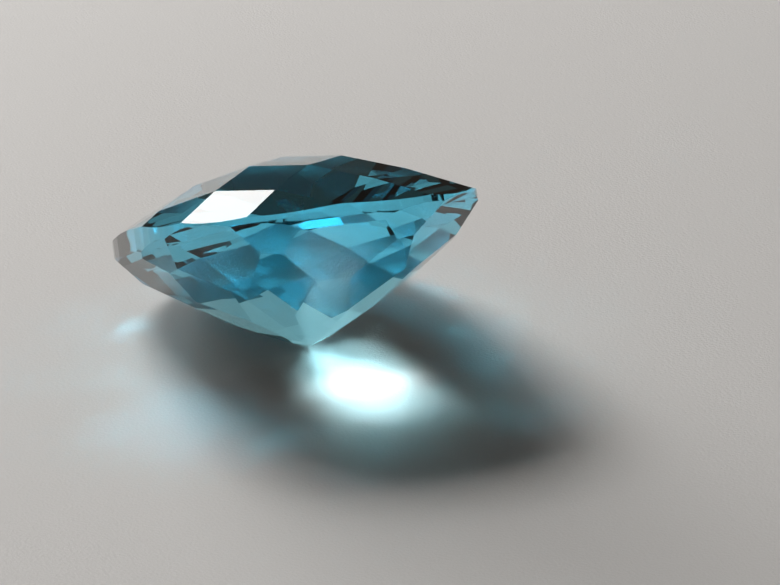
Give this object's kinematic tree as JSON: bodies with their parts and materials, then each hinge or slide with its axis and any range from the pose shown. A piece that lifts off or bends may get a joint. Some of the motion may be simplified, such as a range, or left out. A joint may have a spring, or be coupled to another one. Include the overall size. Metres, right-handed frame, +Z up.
{
  "type": "faceted topaz gemstone",
  "caption": "Loose faceted blue topaz: an oblong cushion with a checkerboard crown and a netted pavilion, lying over on one pavilion facet.",
  "frame": {"origin": "on the plane the stone rests on, straight below the centre of its girdle plane, inside the pavilion facet it lies on", "axes": "+Z up from the surface the stone lies on. +X side to side across the stone, level, and the normal of its mirror plane. +Y is level too: the crown leans away towards +Y and the culet hangs towards -Y"},
  "size_m": [0.026, 0.0269, 0.0152],
  "materials": {
    "topaz": "polished, clear sea-blue topaz"
  },
  "bodies": {
    "root": {"gemstone": "topaz"}
  },
  "joints": []
}
